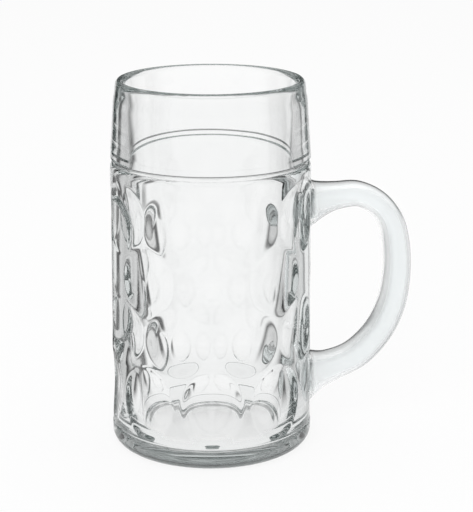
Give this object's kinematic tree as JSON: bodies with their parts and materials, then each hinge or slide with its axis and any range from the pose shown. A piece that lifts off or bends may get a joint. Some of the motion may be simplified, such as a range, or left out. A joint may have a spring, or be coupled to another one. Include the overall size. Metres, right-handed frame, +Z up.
{
  "type": "beer mug",
  "caption": "Tall straight glass beer mug with rows of round dimples, a smooth lip band, a plain raised panel and one D-shaped glass handle.",
  "frame": {"origin": "centre of the plane that the foot ring stands on, on the vessel's axis", "axes": "+Z up along the vessel's axis, +X from the axis towards the handle, the plain panel towards -X"},
  "size_m": [0.1665, 0.1094, 0.2],
  "materials": {
    "body_glass": "clear pressed glass, fire-polished",
    "handle_glass": "clear pressed glass with a softly satin surface"
  },
  "bodies": {
    "root": {"glass_body": "body_glass", "handle": "handle_glass"}
  },
  "joints": []
}
